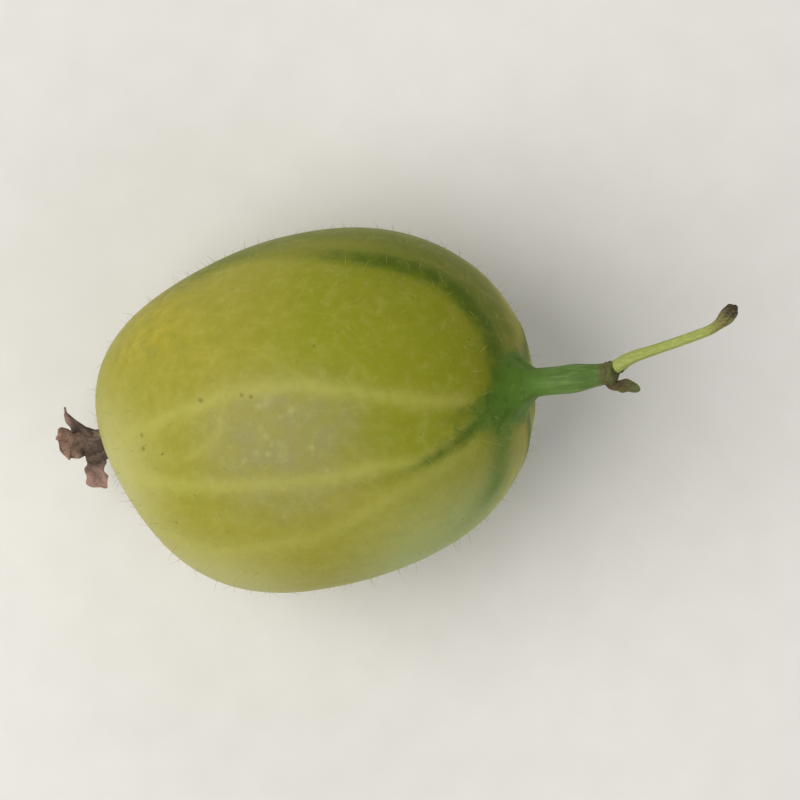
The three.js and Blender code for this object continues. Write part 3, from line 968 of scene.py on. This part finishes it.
# a leaf-like blade: an oval section carried along a curve, wide part of the way along and
# narrow at its tip, cupped across, with its edges crinkled and its face turned by roll
def bladePoints(curve, aside, shape, seed, sides):
    s = np.linspace(0, 1, len(curve))
    roll = shape["roll"] + shape.get("twist", 0) * s
    side, up = pathFrames(curve, aside, roll)
    widest, neckShare = shape["widest"], shape.get("neck", 0.7)
    opening = neckShare + (1 - neckShare) * smoothStep(0, widest, s)
    closing = np.cos(np.clip((s - widest) / (1 - widest), 0, 1) * np.pi / 2) ** shape["blunt"]
    rng = np.random.default_rng(seed)
    turn = rng.uniform(0, 6.28, 8)
    angle = fullTurn(sides)
    notched = 1 + shape["crinkle"] * (np.sin(13 * s + turn[4])[:, None] * (np.cos(angle) > 0)
                                      + np.sin(17 * s + turn[5])[:, None] * (np.cos(angle) <= 0))
    width = shape["halfWidth"] * opening * np.maximum(closing, 0.05)
    out = np.cos(angle)[None] * width[:, None] * notched
    edge = np.abs(np.cos(angle))[None] ** 2
    ripple = (np.sin(8 * s + turn[0])[:, None] * np.sign(np.cos(angle))[None]
              + 0.6 * np.sin(19 * s + turn[1])[:, None] * np.cos(angle + turn[6])[None]
              + 0.5 * np.sin(14 * s + turn[2])[:, None] * np.cos(2 * angle + turn[3])[None])
    half = shape["thick"] / 2 * (1.2 - 0.5 * s) * np.maximum(closing, 0.35)
    ribs = 1 + 0.22 * np.cos(5 * angle + turn[7])[None] * np.abs(np.sin(angle))[None]
    lift = (half[:, None] * np.sin(angle)[None] * ribs
            + shape["cup"] * width[:, None] * np.abs(np.cos(angle))[None] ** 1.5
            + shape["crinkle"] * 0.7 * ripple * edge * smoothStep(0.05, 0.4, s)[:, None])
    rings = ringsAlong(curve, side, up, out, lift)
    return rings + 0.045 * wander(rings, 1.0, seed + 90)[..., None] * smoothStep(
        0, 0.2, s)[:, None, None]


# from a root on the axis, an angle round it and knots along, out and aside: the curve and
# the direction across it
def bladeCurve(origin, along, around, knots, count):
    a = math.radians(around)
    out = np.array([0, math.cos(a), math.sin(a)])
    aside = np.cross(along, out)
    rows = np.array([origin + k[0] * np.asarray(along) + k[1] * out + k[2] * aside
                     for k in knots])
    return softCurve(rows, count), aside


# brown tissue: darker in patches, with painted shade in its creases, and lighter towards the tips
# of its lobes
def makeDryFinish(name, base, dark, light, size, relief):
    f = Finish(name)
    at = f.millimetres()
    share = f.carried("share")
    broad = f.noise(at, 0.8 * size, 3.0)
    creased = f.noise(at, 0.22 * size, 5.0, 0.65, 1.2)
    grain = f.noise(at, 0.06 * size, 2.0)
    colour = f.paint(
        base,
        (dark, broad.step(0.62, 0.38) * 0.7),
        (light, (share * (0.2 + broad)).step(0.2, 0.62) * 0.85),
        # painted shade in the creases
        (dark, creased.step(0.5, 0.36) * 0.6),
        (light, grain.step(0.62, 0.8) * 0.35))
    normal = f.bump(creased + grain * 0.3, relief)
    return f.surface(colour, 0.78 + grain * 0.2, normal, {"Specular IOR Level": 0.3})


def makeJoint():
    j = joint
    origin = np.array([stalkEnd + j["start"] + 0.15, 0, 0])
    rings = [collarPoints()]
    shares = [alongRings(rings[0], 0.75, 0.75)]
    for around, knots, blade in j["bracts"]:
        curve, aside = bladeCurve(origin, (1, 0, 0), around, knots, j["bractRings"])
        rings.append(bladePoints(curve, aside, blade, j["bractSeed"], j["bractSides"]))
        shares.append(alongRings(rings[-1], 0, 1))
    look = makeDryFinish("withered_bract", j["brown"], j["dark"], j["olive"], 1.0, 0.08)
    piece = joinedTubes("stalk_joint", [placed(r) for r in rings], look, {"share": shares})
    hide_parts("bract_joint")
    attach(piece, "root")


makeJoint()
print("joint made")

peduncle = {
    "line": [(0, 0.35, 0.05), (1.3, 0.85, 0.1), (3.1, 1.2, 0.15), (5.8, 1.75, 0.1),
             (7.3, 2.2, 0.05), (8.9, 3.35, 0.1)],
    "radius": 0.4, "start": 6.68, "atRoot": 1.1, "atMiddle": 0.84, "knob": 0.34,
    "ribs": [(5, 3, 0.05, quarter), (9, -2, 0.03, quarter)], "knobRibs": [(7, 20, 0.12, 0)],
    "rings": 150, "sides": 48,
    "pale": srgb(146, 156, 76), "light": srgb(174, 176, 104), "brown": srgb(116, 104, 60),
    "dry": srgb(60, 50, 36),
}


# a thin ribbed stalk that thickens at both ends and is torn off in a dry knob
def pedunclePoints():
    p = peduncle
    path = softCurve(p["line"], p["rings"]) + [stalkEnd + p["start"], 0, 0]
    s = np.linspace(0, 1, p["rings"])[:, None]
    a = fullTurn(p["sides"])[None]
    body = p["atRoot"] + (p["atMiddle"] - p["atRoot"]) * smoothStep(0, 0.45, s)
    lumps = 1 + 0.25 * np.sin(30 * s + 1.5 * np.sin(a))
    knob = p["knob"] * smoothStep(0.78, 0.93, s) * lumps
    torn = 1 - 0.75 * smoothStep(0.95 + 0.03 * np.sin(3 * a), 1.0, s)
    ribs = (1 + ripples(p["ribs"], a, s)
            + smoothStep(0.8, 0.95, s) * ripples(p["knobRibs"], a, s))
    return tubeAlong(path, p["radius"] * (body + knob) * torn * ribs, a)


# streaked, browning unevenly towards the knob, which is dry and dark
def makePeduncleFinish():
    p = peduncle
    f = Finish("pale_stalk")
    at = f.millimetres()
    streaks = f.noise(f.stretched(at, 0.25, 1.0, 1.0), 0.16, 4.0, 0.6)
    grain = f.noise(at, 0.08, 3.0)
    uneven = f.carried("share") + (streaks - 0.5) * 0.3 + (grain - 0.5) * 0.2
    colour = f.paint(
        p["pale"],
        (p["light"], streaks.step(0.45, 0.65) * 0.7),
        (p["brown"], grain.step(0.58, 0.75) * 0.4),
        (p["brown"], uneven.step(0.68, 0.86) * 0.85),
        (p["dry"], uneven.step(0.86, 0.97)))
    normal = f.bump(streaks + grain * 0.4, 0.05)
    return f.surface(colour, 0.6 + grain * 0.25, normal,
                     {**glow(0.15, 0.3, 0.4), "Specular IOR Level": 0.35})


def makePeduncle():
    rings = pedunclePoints()
    piece = joinedTubes("stalk_pale", [placed(rings)], makePeduncleFinish(),
                        {"share": [alongRings(rings, 0, 1)]})
    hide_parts("peduncle")
    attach(piece, "root")


makePeduncle()
print("pale stalk made")

flower = {
    "tubeRadius": 1.0, "footRadius": 1.4, "mouthRadius": 1.2, "tubeLength": 2.2,
    "hollow": 0.5,         # mm, how deep the mouth is; the lobes and styles start there
    "flutes": [(5, 1, 0.07, 1.2 + quarter), (13, 5, 0.045, 0), (23, -9, 0.03, 0),
               (2, 9, 0.04, 0)],
    "rings": 70, "sides": 120, "lobeRings": 52, "lobeSides": 40, "lobeBends": 7, "stray": 0.1,
    "styles": 6, "styleRings": 24, "styleSides": 14, "seed": 3, "lobeSeed": 40,
    "umber": srgb(116, 98, 86), "dark": srgb(66, 54, 47), "red": srgb(174, 138, 122),
    # each lobe: around, length, splay from the tube's line at its root and tip, how red its
    # tip is, and its blade
    "lobes": [
        (25, 2.7, 38, 84, 0.62, {"halfWidth": 0.68, "widest": 0.34, "roll": 50, "blunt": 0.8}),
        (74, 2.4, 28, 62, 1.0, {"halfWidth": 1.15, "widest": 0.6, "roll": 8, "blunt": 0.5}),
        (205, 2.5, 68, 94, 0.95, {"halfWidth": 0.92, "widest": 0.7, "roll": -80, "blunt": 0.4}),
        (275, 2.4, 35, 75, 1.0, {"halfWidth": 0.75, "widest": 0.4, "roll": 0, "blunt": 0.7}),
        (325, 2.2, 20, 45, 0.9, {"halfWidth": 0.72, "widest": 0.5, "roll": 20, "blunt": 0.6})],
    "blade": {"thick": 0.32, "cup": 0.28, "crinkle": 0.13, "neck": 0.75, "twist": 12},
}


# the tube: five soft flutes and finer wrinkles, its foot spread over the skin and its mouth
# flaring, where it turns in again to a dark hollow
def flowerTube():
    f = flower
    s = np.linspace(0, 1, f["rings"])[:, None]
    a = fullTurn(f["sides"])[None]
    inside = smoothStep(0.8, 1.0, s)
    radius = (f["tubeRadius"] + (f["footRadius"] - f["tubeRadius"]) * np.exp(-s / 0.1)
              + (f["mouthRadius"] - f["tubeRadius"]) * smoothStep(0.5, 0.8, s))
    radius = (radius + ripples(f["flutes"], a, s)) * (1 - 0.92 * inside)
    out = f["tubeLength"] * np.minimum(s / 0.8, 1) - f["hollow"] * inside ** 2 - 0.06
    y = flowerSeat[1] + radius * np.cos(a)
    z = radius * -np.sin(a)
    seat = skinDepth(y, z, False)
    x = flowerSeat[0] + (seat - flowerSeat[0]) * (1 - smoothStep(0, 0.5, s)) - out
    return np.stack([x, y, z], axis=-1)


# one lobe: it leaves the tube's wall near the mouth, its splay turns evenly from root to tip,
# and it strays aside
def lobePoints(number, rng):
    f = flower
    around, length, splay, tipSplay, _, shape = f["lobes"][number]
    bends = f["lobeBends"]
    turn = np.radians(np.linspace(splay, tipSplay, bends))
    along = np.concatenate([[0], np.cumsum(np.cos(turn)) * length / bends])
    out = np.concatenate([[0], np.cumsum(np.sin(turn)) * length / bends])
    aside = f["stray"] * rng.normal(size=bends + 1) * np.linspace(0, 1, bends + 1)
    knots = np.stack([along, out + f["tubeRadius"] - 0.2, aside], axis=-1)
    origin = flowerSeat + [f["hollow"] - f["tubeLength"], 0, 0]
    curve, across = bladeCurve(origin, (-1, 0, 0), around, knots, f["lobeRings"])
    blade = {**f["blade"], **shape}
    return bladePoints(curve, across, blade, f["lobeSeed"] + number, f["lobeSides"])


# what is left of the styles: a stout one and thin ones round it, each leaning out as the
# square of the way along it and swollen near its tip
def stylePoints(stout, rng):
    f = flower
    angle = rng.uniform(0, 6.28)
    lean = rng.uniform(0.1, 0.45)
    reach = 2.0 if stout else rng.uniform(1.0, 2.0)
    spot, thick = (0.15, 0.3) if stout else (0.4, 0.1)
    t = np.linspace(0, 1, f["styleRings"])
    path = flowerSeat + np.stack([f["hollow"] - f["tubeLength"] - reach * t,
                                  (spot + 1.2 * lean * t ** 2) * math.cos(angle),
                                  (spot + lean * t ** 2) * math.sin(angle)], axis=-1)
    a = fullTurn(f["styleSides"])[None]
    t = t[:, None]
    swollen = 0.08 * np.exp(-((t - 0.94) / 0.05) ** 2)
    return tubeAlong(path, thick * (1 - 0.5 * t) * (1 + 0.15 * np.sin(3 * a + 12 * t)) + swollen, a)


def makeFlower():
    f = flower
    rng = np.random.default_rng(f["seed"])
    rings = [flowerTube()]
    shares = [alongRings(rings[0], 0, 0.35)]
    for number, (_, _, _, _, redness, _) in enumerate(f["lobes"]):
        rings.append(lobePoints(number, rng))
        shares.append(alongRings(rings[-1], 0.3, redness))
    for number in range(f["styles"]):
        rings.append(stylePoints(number == 0, rng))
        shares.append(alongRings(rings[-1], 0, 0.5))
    look = makeDryFinish("withered_flower", f["umber"], f["dark"], f["red"], 1.2, 0.12)
    piece = joinedTubes("flower_dried", [placed(r) for r in rings], look, {"share": shares})
    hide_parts("dried_flower")
    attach(piece, "root")


makeFlower()
print("dried flower made")

studio = {
    # the camera's turn in degrees, and in metres what it looks at and how wide its view is
    "turn": 7.2, "middle": (0.0063, 0.0004, 0.012), "width": 0.0535, "lens": 400, "sensor": 36,
    "floor": srgb(228, 226, 221), "floorShade": srgb(220, 218, 212), "floorHalf": 900,  # mm
    "world": 0.26, "aim": (0.003, 0, 0.01),
    # each lamp: place, size, watts and colour; they all point at aim
    "lamps": {"key": ((-0.20, 0.0, 0.28), 0.36, 1.15, (1.0, 0.985, 0.96)),
              "fill": ((0.16, -0.20, 0.20), 0.3, 0.25, (0.97, 0.985, 1.0)),
              "back": ((0.06, 0.3, 0.20), 0.25, 0.2, (1.0, 1.0, 1.0))},
}


# wide, pale and very slightly uneven
def makeFloor():
    f = Finish("pale_floor")
    at = f.millimetres()
    fine = f.noise(at, 3.0, 3.0)
    colour = f.paint(studio["floor"], (studio["floorShade"], fine))
    look = f.surface(colour, 0.75 + fine * 0.1, f.bump(fine, 0.01), {"Specular IOR Level": 0.2})
    corners = np.array([[-1, -1, 0], [1, -1, 0], [1, 1, 0], [-1, 1, 0]]) * studio["floorHalf"]
    meshOf("floor", corners, np.array([[0, 1, 2, 3]]), np.zeros((0, 3), int), look)


# a round lamp that points at the aim
def areaLight(name, place, size, watts, colour):
    lamp = bpy.data.lights.new(name, "AREA")
    lamp.shape = "DISK"
    lamp.size = size
    lamp.energy = watts
    lamp.color = colour
    holder = bpy.data.objects.new(name, lamp)
    holder.location = place
    aim = Vector(studio["aim"]) - Vector(place)
    holder.rotation_euler = aim.to_track_quat("-Z", "Y").to_euler()
    bpy.context.scene.collection.objects.link(holder)


# looks straight down from far off with a long lens, turned about the upright
def makeCamera():
    turn = math.radians(studio["turn"])
    right = Vector((math.cos(turn), -math.sin(turn), 0))
    up = Vector((math.sin(turn), math.cos(turn), 0))
    lens = bpy.data.cameras.new("camera")
    lens.lens = studio["lens"]
    lens.sensor_width = studio["sensor"]
    away = studio["width"] * lens.lens / lens.sensor_width
    holder = bpy.data.objects.new("camera", lens)
    axes = Matrix((right, up, right.cross(up))).transposed()
    place = Vector(studio["middle"]) + Vector((0, 0, away))
    holder.matrix_world = Matrix.Translation(place) @ axes.to_4x4()
    lens.clip_end = 10
    bpy.context.scene.collection.objects.link(holder)
    bpy.context.scene.camera = holder


makeFloor()
for lampName, (place, size, watts, tint) in studio["lamps"].items():
    areaLight(lampName, place, size, watts, tint)
world = bpy.data.worlds.new("studio")
world.use_nodes = True
world.node_tree.nodes["Background"].inputs["Color"].default_value = (1, 1, 1, 1)
world.node_tree.nodes["Background"].inputs["Strength"].default_value = studio["world"]
bpy.context.scene.world = world
bpy.context.scene.view_settings.view_transform = "Standard"
makeCamera()
print("studio made")
